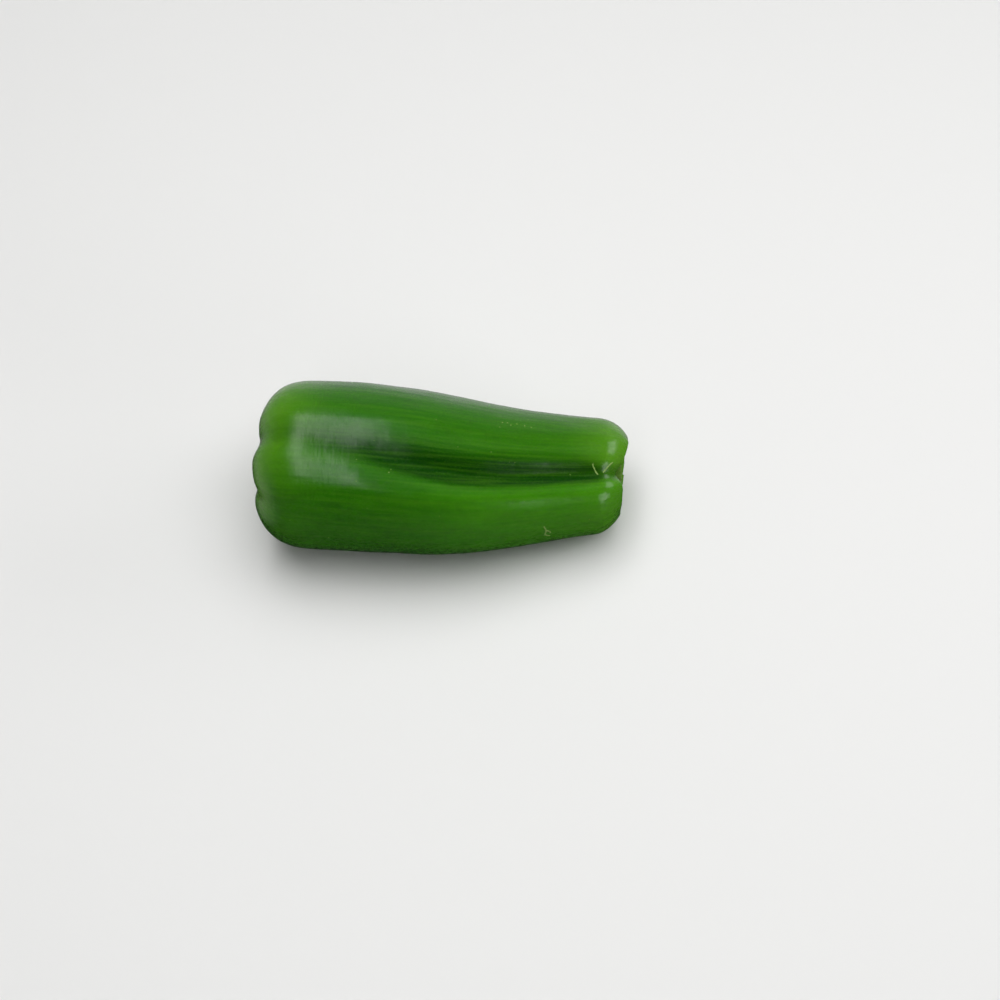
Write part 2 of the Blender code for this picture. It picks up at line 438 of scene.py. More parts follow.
def axis_y(given, along):
    """The fruit bows sideways, most of all a little past its middle."""
    bow = calculate("SINE", math.pi * along ** 1.159)
    return given["Bow"] * bow * bow * -1


def axis_z(given, along):
    """The axis drops where the fruit is thinner, so that its underside stays straight."""
    return given["Straight Underside"] * (side_radius(given, along) - given["Blossom Radius"])


def tilt(given, end, out, angle):
    """How far an end reaches out on the side that it leans towards."""
    lean = given[end + " Tilt Angle"] * (math.pi / 180)
    return given[end + " Tilt"] * out * calculate("COSINE", angle - lean)


# %% [markdown]
# `skin_place` puts the rule together. It also gives back two things that the paint will want later:
# how deep in a groove a point is, which the paint darkens with painted shade, and an unrolled address
# in metres, whose third part runs along the fruit from pole to pole. Streaks that follow that address run
# up each lobe and meet at both ends, as they do on a real pepper.

# %% The fruit's rule
def skin_place(tree, given):
    share, angle = stored(tree, "share"), stored(tree, "angle")
    inputs = {"Share": share / BLOSSOM_CAP, "Squareness": given["Blossom Squareness"]}
    blossom = use_group(tree, ROUNDED_END, inputs)
    inputs = {"Share": (1 - share) / STEM_CAP, "Squareness": given["Stem Squareness"]}
    stem = use_group(tree, ROUNDED_END, inputs)
    side = (share - BLOSSOM_CAP) / (1 - BLOSSOM_CAP - STEM_CAP)
    side = calculate("MINIMUM", calculate("MAXIMUM", side, 0.0), 1.0)
    out = blossom["Out"] * stem["Out"]

    straight = given["Length"] - given["Blossom Rounding"] - given["Stem Rounding"]
    x = given["Blossom Rounding"] * (1 - blossom["End"]) + given["Stem Rounding"] * stem["End"]
    x = x + straight * side
    along = x / given["Length"]
    hollow, fold = hollows(tree, along, angle, given["Lobe Fullness"])

    dimple = given["Blossom Dimple"] * smoothstep(out, 0.0, 0.65, 1.0, 0.0)
    dimple = dimple + given["Blossom Groove Drop"] * hollow * smoothstep(out, 0.05, 0.5)
    dimple = dimple - tilt(given, "Blossom", out, angle)
    cavity = given["Cavity Depth"] * smoothstep(out, 0.30, 0.70, 1.0, 0.0)
    cavity = cavity + given["Shoulder Groove Drop"] * hollow * smoothstep(out, 0.30, 0.70)
    cavity = cavity - tilt(given, "Shoulder", out, angle)

    depth = blossom_to_stem(
        given["Groove Depth Blossom"], given["Groove Depth Middle"], given["Groove Depth Stem"], along
    )
    radius = out * side_radius(given, along) * (1 - depth * hollow - given["Fold Depth"] * fold)
    y = axis_y(given, along) + radius * calculate("COSINE", angle)
    z = axis_z(given, along) + radius * calculate("SINE", angle)
    place = vector(tree, x + dimple * blossom["End"] - cavity * stem["End"], y, z)

    meridian = x - given["Blossom Radius"] * (1 - blossom["Out"])
    meridian = meridian + given["Stem Radius"] * (1 - stem["Out"])
    round_x = given["Blossom Radius"] * calculate("COSINE", angle)
    round_y = given["Blossom Radius"] * calculate("SINE", angle)
    return place, calculate("MINIMUM", hollow + fold * 0.6, 1.0), vector(tree, round_x, round_y, meridian)


# %% [markdown]
# ## Growing the fruit
#
# A perfect rule looks like plastic. Real skin has shallow dents a thumb wide, faint ribs along its
# length and a fine ripple across it, which is what breaks up a reflection. All three are real relief
# here: noise, stretched along the unrolled address, lifts the skin along its normals. The seed is fixed,
# so every run grows the same pepper.
#
# Last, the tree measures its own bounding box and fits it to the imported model's box, and presses flat
# whatever would go below the surface that the fruit lies on.

# %% The fruit's tree
def fit_to_box(geometry, low, high):
    """Moves and stretches the geometry so that it just fills a box."""
    box = add_node(geometry.tree, "GeometryNodeBoundBox", {"Geometry": geometry})
    corner = Wire(geometry.tree, box.outputs["Min"])
    size = vector_math("SUBTRACT", Wire(geometry.tree, box.outputs["Max"]), corner)
    inside = vector_math("DIVIDE", vector_math("SUBTRACT", position(geometry.tree), corner), size)
    wanted = vector_math("SUBTRACT", high, low)
    return set_place(geometry, vector_math("ADD", vector_math("MULTIPLY", inside, wanted), low))


def fruit_tree():
    inputs = {"Segments": ("Int", 300), "Rings": ("Int", 320)}
    inputs.update({label: ("Float", value) for label, value in FRUIT_SIZES.items()})
    inputs.update({"Low Corner": ("Vector", None), "High Corner": ("Vector", None)})
    inputs["Skin"] = ("Material", None)
    tree, given, result = new_tree("Pepper Fruit", "GeometryNodeTree", inputs, {"Geometry": "Geometry"})
    geometry = ball(tree, given["Segments"], given["Rings"])
    place, hollow, address = skin_place(tree, given)
    geometry = store(geometry, "groove", hollow)
    geometry = store(geometry, "grain", address, "FLOAT_VECTOR")
    geometry = set_place(geometry, place)

    address, seed = stored(tree, "grain", "FLOAT_VECTOR"), given["Seed"]
    waist = given["Waist Drop"] * smoothstep(split(address)[2] / given["Length"], 0.27, 0.40)
    dents = given["Dent Height"] * noise(address, (0.020, 0.020, 0.034), seed, 1.0)
    ribs = given["Rib Height"] * noise(address, (0.0045, 0.0045, 0.060), seed + 10, 1.0)
    ripples = given["Ripple Height"] * noise(address, (0.006, 0.006, 0.0026), seed + 20, 2.0)
    geometry = lift(geometry, dents + ribs + ripples - waist)

    geometry = fit_to_box(geometry, given["Low Corner"], given["High Corner"])
    x, y, z = split(position(tree))
    geometry = set_place(geometry, vector(tree, x, y, calculate("SMOOTH_MAX", z, 0.0, 0.0004)))
    finish_geometry(tree, geometry, given["Skin"], result)
    return tree


# %% [markdown]
# ## Patterns that several materials share
#
# Skin, calyx, stem and cork are all plant tissue, so they share three effects: cloudy patches, long
# streaks that follow the growth, and tiny pores. Each is a shader group that is built once and gives back
# a mask. A material places the group with its own sizes and decides what the mask means there. All three
# read the grain address that Geometry Nodes stored on the piece, so the pattern is fixed to the skin.

# %% Shader groups
def shader_noise(place, size, detail):
    """Noise from 0 to 1 whose bumps have this size along x, y and z."""
    inputs = {"Vector": vector_math("DIVIDE", place, size), "Scale": 1.0, "Detail": detail}
    return flow(place.tree, "ShaderNodeTexNoise", inputs, noise_dimensions="3D")


def mottling_group():
    tree, given, result = new_tree(
        "Mottling",
        "ShaderNodeTree",
        {"Grain": ("Vector", None), "Size": ("Float", 0.004), "Sharpness": ("Float", 0.3)},
        {"Mask": "Float"},
    )
    size = vector(tree, given["Size"], given["Size"], given["Size"] * 1.6)
    cloud = shader_noise(given["Grain"], size, 3.0)
    edge = 0.32 * (1 - given["Sharpness"])
    plug(tree, smoothstep(cloud, 0.5 - edge, 0.5 + edge), result.inputs["Mask"])
    return tree


def streaks_group():
    tree, given, result = new_tree(
        "Streaks",
        "ShaderNodeTree",
        {"Grain": ("Vector", None), "Width": ("Float", 0.0008), "Length": ("Float", 0.02)},
        {"Mask": "Float"},
    )
    size = vector(tree, given["Width"], given["Width"], given["Length"])
    plug(tree, smoothstep(shader_noise(given["Grain"], size, 2.0), 0.35, 0.75), result.inputs["Mask"])
    return tree


def pores_group():
    tree, given, result = new_tree(
        "Pores",
        "ShaderNodeTree",
        {"Grain": ("Vector", None), "Spacing": ("Float", 0.0012), "Size": ("Float", 0.2)},
        {"Mask": "Float"},
    )
    spacing = vector(tree, given["Spacing"], given["Spacing"], given["Spacing"])
    place = vector_math("DIVIDE", given["Grain"], spacing)
    dots = add_node(tree, "ShaderNodeTexVoronoi", {"Vector": place, "Scale": 1.0, "Randomness": 0.9})
    distance = Wire(tree, dots.outputs["Distance"])
    plug(tree, smoothstep(distance, given["Size"], given["Size"] * 0.4), result.inputs["Mask"])
    return tree


MOTTLING, STREAKS, PORES = mottling_group(), streaks_group(), pores_group()


# %% Start a material
def new_material(name, **sockets):
    """A Principled material. Underscores in a keyword stand for the spaces in the socket's name."""
    material = bpy.data.materials.new(name)
    material.use_nodes = True
    shader = material.node_tree.nodes["Principled BSDF"]
    for label, value in sockets.items():
        shader.inputs[label.replace("_", " ")].default_value = value
    return material, material.node_tree, shader


def painted(tree, name, output="Fac"):
    """Reads one of the piece's own attributes in a shader."""
    return Wire(tree, add_node(tree, "ShaderNodeAttribute", attribute_name=name).outputs[output])


def mask_of(group, grain, **sizes):
    """The mask of one of the shared patterns, placed with these sizes."""
    return use_group(grain.tree, group, {"Grain": grain, **sizes})["Mask"]


def blend(first, second, share, mode="MIX"):
    """Mixes two colours by a mask."""
    tree = share.tree
    inputs = {0: share, 6: first, 7: second}
    node = add_node(tree, "ShaderNodeMix", inputs, data_type="RGBA", blend_type=mode)
    return Wire(tree, node.outputs[2])


def bump(tree, shader, height):
    """Feeds a height in metres to the shader's normal."""
    node = add_node(tree, "ShaderNodeBump", {"Strength": 1.0, "Distance": 1.0, "Height": height})
    plug(tree, Wire(tree, node.outputs["Normal"]), shader.inputs["Normal"])


# %% [markdown]
# ## The skin's finish
#
# A pepper's skin is green tissue under a thin, clear wax. The green isn't one colour: it is yellower at
# both ends and broken up by clouds, streaks and pale pores. Light and shade are painted into it as well:
# painted shade darkens the grooves, and painted light makes the blossom end yellower on its upper back side
# and the stem half paler at the front. A painted picture would have to be stored and would blur close up.
# Masks that read the fruit's own grain need no picture. The wax is the shader's coat, thicker in some
# patches than in others, so that no highlight is quite even.

# %% The skin
DEEP_GREEN = (0.020, 0.136, 0.0012, 1)
YELLOW_GREEN = (0.092, 0.280, 0.010, 1)
# painted light: a paler green for the front of the stem half
PAINTED_LIGHT_GREEN = (0.045, 0.230, 0.003, 1)
# painted shade: a dark green for the grooves and the top fold
GROOVE_SHADE_GREEN = (0.0030, 0.045, 0.0002, 1)
PALE_DOT = (0.08, 0.22, 0.015, 1)


def skin_material():
    material, tree, shader = new_material(
        "pepper_skin",
        Roughness=0.3,
        Specular_IOR_Level=0.22,
        Coat_Roughness=0.17,
        Subsurface_Weight=0.08,
        Subsurface_Scale=0.002,
    )
    shader.inputs["Subsurface Radius"].default_value = (0.4, 1.0, 0.1)
    grain = painted(tree, "grain", "Vector")
    hollow = painted(tree, "groove")
    along = split(grain)[2] / FRUIT_SIZES["Length"]

    clouds = mask_of(MOTTLING, grain, Size=0.006, Sharpness=0.1)
    fine_clouds = mask_of(MOTTLING, grain, Size=0.0018, Sharpness=0.2)
    streaks = mask_of(STREAKS, grain, Width=0.0011, Length=0.028)
    pores = mask_of(PORES, grain, Spacing=0.0011, Size=0.24)

    around_y, around_z, _ = split(grain)
    # painted light: at the blossom end the yellow is kept to the upper back side and the top of the tip,
    # which face the overhead lamps. The yellower ends themselves are the fruit's own colour.
    painted_lit_side = smoothstep(around_y * 14 + around_z * 24, -0.1, 0.95, 0.15, 1.0)
    tip = smoothstep(along, 0.09, -0.01) * smoothstep(around_z, -0.006, 0.016, 0.0, 0.9)
    ends = calculate("MAXIMUM", smoothstep(along, 0.24, 0.0) * painted_lit_side, tip)
    ends = ends + smoothstep(along, 0.78, 1.02) * 0.95 + smoothstep(along, 0.40, 0.80) * 0.12
    ends = calculate("MINIMUM", ends * (0.75 + 0.5 * clouds), 1.0)
    colour = blend(DEEP_GREEN, YELLOW_GREEN, ends)
    # painted light: the front side of the stem half is painted a paler green
    painted_light_front = smoothstep(along, 0.34, 0.62) * smoothstep(around_y, -0.008, -0.022)
    colour = blend(colour, PAINTED_LIGHT_GREEN, painted_light_front * 0.6)
    # painted shade: the grooves and the top fold are darkened where shade falls between the lobes
    colour = blend(colour, GROOVE_SHADE_GREEN, smoothstep(hollow, 0.24, 0.76) * 0.97)
    colour = blend(colour, (0.55, 0.62, 0.45, 1), fine_clouds * clouds * 0.6, "MULTIPLY")
    colour = blend(colour, YELLOW_GREEN, streaks * 0.22)
    colour = blend(colour, PALE_DOT, pores * 0.25)
    plug(tree, colour, shader.inputs["Base Color"])
    plug(tree, 0.24 + 0.08 * fine_clouds, shader.inputs["Roughness"])
    plug(tree, 0.40 + 0.35 * clouds, shader.inputs["Coat Weight"])

    rippled_length = smoothstep(along, 0.34, 0.22) * smoothstep(along, 0.08, 0.16)
    ripple_mask = rippled_length * smoothstep(around_z, 0.0, 0.02)
    ripples = shader_noise(grain, vector(tree, 0.007, 0.007, 0.0012), 1.0) * ripple_mask * 0.00018
    dimples = shader_noise(grain, vector(tree, 0.0030, 0.0030, 0.0040), 1.0) * 0.00010
    bump(tree, shader, ripples + dimples)
    return material


skin = skin_material()


# %% [markdown]
# ## The fruit itself
#
# The tree now runs once, with the sizes and the skin. Its result is fitted into the box of the model's
# fruit, a little inside it at the sides and on top, so that the marks on the skin stay inside too. The
# model's own mesh would fit exactly, but would bring its coarse facets. The gap between the two skins is
# measured.

# %% Grow the fruit
fruit_low, fruit_high = [Vector(corner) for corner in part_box("fruit")]
MARGIN = 0.0001
fruit_low += Vector((MARGIN, MARGIN, -SEAT_DEPTH))
fruit_high -= Vector((MARGIN, MARGIN, MARGIN))
fineness = 1.0
fruit_values = {
    **FRUIT_SIZES,
    "Segments": int(300 * fineness),
    "Rings": int(320 * fineness),
    "Low Corner": fruit_low,
    "High Corner": fruit_high,
    "Skin": skin,
}
fruit = grow("fruit_skin", fruit_tree(), fruit_values)
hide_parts("fruit")
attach(fruit, "root")


def surface_of(mesh):
    return BVHTree.FromPolygons([v.co for v in mesh.vertices], [face.vertices for face in mesh.polygons])


cad_surface = surface_of(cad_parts["fruit"].data)
gaps = sorted(1000 * cad_surface.find_nearest(vertex.co)[3] for vertex in fruit.data.vertices)
print(f"fruit against the model: middle gap {gaps[len(gaps) // 2]:.2f} mm, largest {gaps[-1]:.2f} mm")


# %% [markdown]
# ## The calyx
#
# The calyx is what is left of the flower's green leaves: a thin cup with five short points that lies in
# the dent. It has to follow the dent exactly, so its tree drops every point of a flat star onto the fruit
# with a Raycast and builds the cup's thickness from there. Raised veins run out to the points.

# %% Ray casts onto the fruit
def cast(tree, target, start, direction):
    """Where a ray from a place meets the target, and the target's normal there."""
    inputs = {
        "Target Geometry": target,
        "Source Position": start,
        "Ray Direction": direction,
        "Ray Length": 1.0,
    }
    node = add_node(tree, "GeometryNodeRaycast", inputs)
    return Wire(tree, node.outputs["Hit Position"]), Wire(tree, node.outputs["Hit Normal"])


def geometry_of(tree, given_object):
    node = add_node(tree, "GeometryNodeObjectInfo", {"Object": given_object}, transform_space="RELATIVE")
    return Wire(tree, node.outputs["Geometry"])


# %% The calyx's rule
def calyx_tree():
    tree, given, result = new_tree(
        "Calyx",
        "GeometryNodeTree",
        {
            "Fruit": ("Object", None),
            "Centre": ("Vector", None),
            "Radius": ("Float", 0.009),
            "Thickness": ("Float", 0.0013),
            "Points": ("Float", 5.0),
            "Point Share": ("Float", 0.22),
            "Vein Height": ("Float", 0.0005),
            "Collar Height": ("Float", 0.0008),
            "Seed": ("Float", 2.0),
            "Green": ("Material", None),
        },
        {"Geometry": "Geometry"},
    )
    geometry = ball(tree, 150, 70)
    share, angle = stored(tree, "share"), stored(tree, "angle")
    cosine, sine = calculate("COSINE", angle), calculate("SINE", angle)
    up = calculate("COSINE", share * math.pi) * -1
    out = calculate("MAXIMUM", calculate("SINE", share * math.pi), 0.0) ** 0.8
    wave = calculate("SINE", given["Points"] * angle / 2)
    star = 1 - given["Point Share"] * calculate("ABSOLUTE", wave)
    uneven = 1 + 0.22 * noise(vector(tree, cosine, sine, 0.0), (0.7, 0.7, 0.7), given["Seed"])
    radius = given["Radius"] * out * mix(1.0, star * uneven, out * out)
    flat = vector(tree, 0.2, radius * cosine, radius * sine)
    flat = vector_math("ADD", flat, given["Centre"])
    fruit_geometry = geometry_of(tree, given["Fruit"])
    seat, _ = cast(tree, fruit_geometry, flat, (-1.0, 0.0, 0.0))
    seat_x, y, z = split(seat)

    thickness = given["Thickness"] * (1 - 0.4 * out ** 4)
    veins = calculate("EXPONENT", wave * wave * -9) * smoothstep(out, 0.2, 0.5) * smoothstep(out, 1.0, 0.8)
    collar = given["Collar Height"] * smoothstep(out, 0.75, 0.35)
    top = thickness + given["Vein Height"] * veins + collar
    top = top + 0.0005 * noise(vector(tree, y, z, seat_x), (0.004, 0.004, 0.004), given["Seed"])
    x = seat_x - 0.0002 + (top + 0.0002) * smoothstep(up, -0.25, 0.45)
    grain = vector(tree, given["Radius"] * cosine, given["Radius"] * sine, radius)
    geometry = store(geometry, "grain", grain, "FLOAT_VECTOR")
    geometry = store(geometry, "vein", veins)
    geometry = set_place(geometry, vector(tree, x, y, z))
    finish_geometry(tree, geometry, given["Green"], result)
    return tree


# %% [markdown]
# ## The calyx's finish
#
# The calyx has no wax. It is dull, its veins are paler than the green between them, and its rim has begun
# to dry. A plain green would do for so small a piece, but its tree already stores the veins, so the
# material only has to read them.

# %% The calyx's green
def calyx_material():
    material, tree, shader = new_material("calyx_green", Roughness=0.45, Specular_IOR_Level=0.35)
    grain = painted(tree, "grain", "Vector")
    vein = painted(tree, "vein")
    clouds = mask_of(MOTTLING, grain, Size=0.002, Sharpness=0.1)
    streaks = mask_of(STREAKS, grain, Width=0.0005, Length=0.006)
    pores = mask_of(PORES, grain, Spacing=0.0006, Size=0.25)
    rim = smoothstep(split(grain)[2], 0.0066, 0.0088)
    colour = blend((0.07, 0.17, 0.015, 1), (0.13, 0.26, 0.035, 1), clouds)
    colour = blend(colour, (0.20, 0.34, 0.07, 1), vein * 0.6)
    colour = blend(colour, (0.16, 0.15, 0.05, 1), rim * 0.6)
    colour = blend(colour, (0.22, 0.36, 0.08, 1), streaks * 0.3)
    plug(tree, colour, shader.inputs["Base Color"])
    plug(tree, 0.42 + 0.2 * clouds, shader.inputs["Roughness"])
    bump(tree, shader, streaks * 0.00005 - pores * 0.00002)
    return material


stem_low, stem_high = [Vector(corner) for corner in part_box("stem")]
calyx_low, calyx_high = [Vector(corner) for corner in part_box("calyx")]
dent_centre = Vector((0.0, (calyx_low.y + calyx_high.y) / 2, (calyx_low.z + calyx_high.z) / 2))
calyx = grow(
    "calyx_cup",
    calyx_tree(),
    {"Fruit": fruit, "Centre": dent_centre, "Radius": 0.009, "Thickness": 0.0013, "Points": 5.0,
     "Point Share": 0.22, "Vein Height": 0.0005, "Collar Height": 0.0008, "Seed": 2.0,
     "Green": calyx_material()},
)
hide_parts("calyx")
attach(calyx, "root")


# %% [markdown]
# ## The stem
#
# The stem is short and ribbed, flares where it grows out of the calyx, and ends in a cut that has begun
# to dry, with a sunken pith. It starts from the same addressed ball. Its last fifth is folded over into
# the cut face.

# %% The stem's rule
def stem_tree():
    tree, given, result = new_tree(
        "Stem",
        "GeometryNodeTree",
        {
            "Low Corner": ("Vector", None),
            "High Corner": ("Vector", None),
            "Root Radius": ("Float", 0.005),
            "Waist Radius": ("Float", 0.0036),
            "Cut Radius": ("Float", 0.0041),
            "Length": ("Float", 0.007),
            "Ribs": ("Float", 5.0),
            "Rib Height": ("Float", 0.0005),
            "Bow": ("Float", 0.0008),
            "Pith Depth": ("Float", 0.0007),
            "Seed": ("Float", 7.0),
            "Green": ("Material", None),
        },
        {"Geometry": "Geometry"},
    )
    geometry = ball(tree, 110, 110)
    share, angle = stored(tree, "share"), stored(tree, "angle")
    cosine, sine = calculate("COSINE", angle), calculate("SINE", angle)
    side = calculate("MINIMUM", calculate("MAXIMUM", (share - 0.12) / 0.66, 0.0), 1.0)
    root = use_group(tree, ROUNDED_END, {"Share": share / 0.12, "Squareness": 2.0})
    face = calculate("MAXIMUM", (share - 0.78) / 0.22, 0.0)
    edge = use_group(tree, ROUNDED_END, {"Share": calculate("MINIMUM", face * 6, 1.0), "Squareness": 2.0})
    inward = calculate("MAXIMUM", (face * 6 - 1) / 5, 0.0)

    neck = mix(given["Root Radius"], given["Waist Radius"], smoothstep(side, 0.0, 0.55))
    neck = mix(neck, given["Cut Radius"], smoothstep(side, 0.6, 1.0))
    turned = angle * given["Ribs"] + side * 0.9
    ribs = calculate("COSINE", turned) * given["Rib Height"]
    fine = noise(vector(tree, cosine, sine, side * 0.5), (0.25, 0.25, 1.0), given["Seed"]) * 0.0005
    bevel = 0.0004
    rim_radius = (neck + ribs + fine) * root["Out"]
    radius = (rim_radius - bevel * edge["Out"]) * (1 - inward)
    pith = given["Pith Depth"] * smoothstep(inward, 0.08, 0.55)
    on_cut = vector(tree, radius * cosine, radius * sine, 0.0)
    crumble = 0.0003 * noise(on_cut, (0.0009, 0.0009, 1.0), given["Seed"])
    x = given["Length"] * side + bevel * (1 - edge["End"]) + (crumble - pith) * smoothstep(inward, 0.0, 0.1)
    y = radius * cosine + given["Bow"] * side * side
    z = radius * sine

    geometry = store(geometry, "cut", smoothstep(share, 0.785, 0.81))
    geometry = store(geometry, "pith", smoothstep(inward, 0.15, 0.6))
    grain = vector(tree, given["Root Radius"] * cosine, given["Root Radius"] * sine, x)
    geometry = store(geometry, "grain", grain, "FLOAT_VECTOR")
    geometry = set_place(geometry, vector(tree, x, y, z))
    geometry = fit_to_box(geometry, given["Low Corner"], given["High Corner"])
    finish_geometry(tree, geometry, given["Green"], result)
    return tree


# %% [markdown]
# ## The stem's finish
#
# The stem is green, and its cut has begun to dry, with a darker pith in the middle. Two materials on one
# mesh would need a list of faces. One material that mixes two colours by a stored mask keeps the edge
# between them soft.

# %% The stem's green and its dry cut
def stem_material():
    material, tree, shader = new_material("stem_green", Roughness=0.55, Specular_IOR_Level=0.3)
    grain = painted(tree, "grain", "Vector")
    cut = painted(tree, "cut")
    pith = painted(tree, "pith")
    clouds = mask_of(MOTTLING, grain, Size=0.0014, Sharpness=0.2)
    streaks = mask_of(STREAKS, grain, Width=0.00035, Length=0.005)
    pores = mask_of(PORES, grain, Spacing=0.0004, Size=0.35)
    green = blend((0.09, 0.22, 0.020, 1), (0.15, 0.30, 0.040, 1), clouds)
    green = blend(green, (0.24, 0.38, 0.09, 1), streaks * 0.5)
    dry = blend((0.13, 0.23, 0.035, 1), (0.085, 0.12, 0.025, 1), pith)
    dry = blend(dry, (0.05, 0.07, 0.015, 1), pores * 0.6)
    plug(tree, blend(green, dry, cut), shader.inputs["Base Color"])
    plug(tree, 0.5 + 0.3 * cut, shader.inputs["Roughness"])
    bump(tree, shader, streaks * 0.00008 - pores * cut * 0.00006)
    return material


STEM_ROOT_DEPTH = 0.0012
stem_low.x -= STEM_ROOT_DEPTH
stem = grow(
    "stem_stub",
    stem_tree(),
    {"Low Corner": stem_low, "High Corner": stem_high, "Root Radius": 0.005, "Waist Radius": 0.0036,
     "Cut Radius": 0.0041, "Length": 0.007, "Ribs": 5.0, "Rib Height": 0.0005, "Bow": 0.0008,
     "Pith Depth": 0.0007, "Seed": 7.0, "Green": stem_material()},
)
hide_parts("stem")
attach(stem, "root")


# %% [markdown]
# ## Scars
#
# Where a leaf rubbed against the growing fruit, the skin healed into thin, dry, pale ridges. A scar is
# drawn as a short line on the unrolled skin, in metres along and around the fruit. Its tree smooths the
# line, drops it onto the fruit by ray casts, and sweeps a thin tapering thread along it, half sunk.

# %% Unrolled skin to real skin
AROUND_RADIUS = 0.033


def onto_skin(tree, target, unrolled):
    """Drops a place on the unrolled skin (metres along, metres around) onto the fruit."""
    along, around, _ = split(unrolled)
    angle = around / AROUND_RADIUS
    cosine, sine = calculate("COSINE", angle), calculate("SINE", angle)
    height = smoothstep(along, 0.05, 0.15, 0.034, 0.025)
    x = along + fruit_low.x
    start = vector(tree, x, 0.1 * cosine, height + 0.1 * sine)
    return cast(tree, target, start, vector(tree, 0.0, cosine * -1, sine * -1))


def scar_tree():
    tree, given, result = new_tree(
        "Scar",
        "GeometryNodeTree",
        {
            "Line": ("Geometry", None),
            "Fruit": ("Object", None),
            "Width": ("Float", 0.0005),
            "Height": ("Float", 0.00012),
            "Wobble": ("Float", 0.0006),
            "Seed": ("Float", 3.0),
            "Dry Skin": ("Material", None),
        },
        {"Geometry": "Geometry"},
    )
    curve = flow(tree, "GeometryNodeMeshToCurve", {"Mesh": given["Line"]})
    curve = flow(tree, "GeometryNodeCurveSplineType", {"Curve": curve}, spline_type="CATMULL_ROM")
    curve = flow(tree, "GeometryNodeResampleCurve", {"Curve": curve, "Count": 40})
    drawn = position(tree)
    wobble = given["Wobble"] * noise(drawn, (0.0015, 0.0015, 0.0015), given["Seed"])
    drawn = vector_math("ADD", drawn, vector(tree, wobble, wobble * -1, 0.0))
    place, normal = onto_skin(tree, geometry_of(tree, given["Fruit"]), drawn)
    sunk = scaled(normal, given["Height"] - given["Width"] / 2)
    curve = set_place(curve, vector_math("ADD", place, sunk))
    factor = Wire(tree, tree.nodes.new("GeometryNodeSplineParameter").outputs["Factor"])
    taper = calculate("MAXIMUM", calculate("SINE", factor * math.pi), 0.02) ** 0.5
    taper = taper * (1 + 0.9 * noise(drawn, (0.0008, 0.0008, 0.0008), given["Seed"]))
    curve = flow(tree, "GeometryNodeSetCurveRadius", {"Curve": curve, "Radius": taper})
    ring = flow(tree, "GeometryNodeCurvePrimitiveCircle", {"Resolution": 8, "Radius": given["Width"] / 2})
    inputs = {"Curve": curve, "Profile Curve": ring, "Fill Caps": True}
    finish_geometry(tree, flow(tree, "GeometryNodeCurveToMesh", inputs), given["Dry Skin"], result)
    return tree


def seedling(name, points, joined):
    """A mesh of loose points, or of points joined into a line."""
    mesh = bpy.data.meshes.new(name)
    edges = [(i, i + 1) for i in range(len(points) - 1)] if joined else []
    mesh.from_pydata(points, edges, [])
    return mesh


def on_skin(along_mm, angle):
    """A place on the unrolled skin, from millimetres along the fruit and degrees around it."""
    return (along_mm / 1000, math.radians(angle) * AROUND_RADIUS, 0.0)


def dry_skin_material():
    material, tree, shader = new_material("dry_skin", Roughness=0.6, Specular_IOR_Level=0.3)
    grain = Wire(tree, tree.nodes.new("ShaderNodeTexCoord").outputs["Object"])
    clouds = mask_of(MOTTLING, grain, Size=0.0006, Sharpness=0.3)
    pores = mask_of(PORES, grain, Spacing=0.0003, Size=0.3)
    colour = blend((0.15, 0.29, 0.05, 1), (0.30, 0.43, 0.13, 1), clouds)
    plug(tree, colour, shader.inputs["Base Color"])
    plug(tree, 0.5 + 0.2 * clouds, shader.inputs["Roughness"])
    bump(tree, shader, pores * -0.00002)
    return material


dry_skin = dry_skin_material()
SCAR = scar_tree()
SCARS = {
    "shoulder_scar_a": [on_skin(138.4, 102), on_skin(138.9, 106), on_skin(139.6, 110), on_skin(140.5, 114)],
    "shoulder_scar_b": [on_skin(142.8, 111), on_skin(143.8, 107), on_skin(145.2, 102), on_skin(146.8, 97)],
    "side_scar": [on_skin(118.5, 168), on_skin(119.4, 174), on_skin(119.2, 181), on_skin(121.0, 186)],
    "side_scar_branch": [on_skin(119.4, 174), on_skin(120.9, 177), on_skin(121.2, 180)],
}
for name, points in SCARS.items():
    values = {"Fruit": fruit, "Width": 0.0008, "Height": 0.00014, "Wobble": 0.0006, "Seed": 3.0,
              "Dry Skin": dry_skin}
    scar = grow(name, SCAR, values, seedling(name + "_line", points, True))
    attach(scar, "root")


# %% [markdown]
# ## The specks
#
# Older skin carries tiny pale corky specks. Most lie at random, and a few larger ones in a short row.
# They could be spots in the skin's colour, but a speck stands up a little and catches the light, so each
# is a flattened ball. One tree scatters points over the fruit, adds the chosen places, and puts the same
# ball on each.

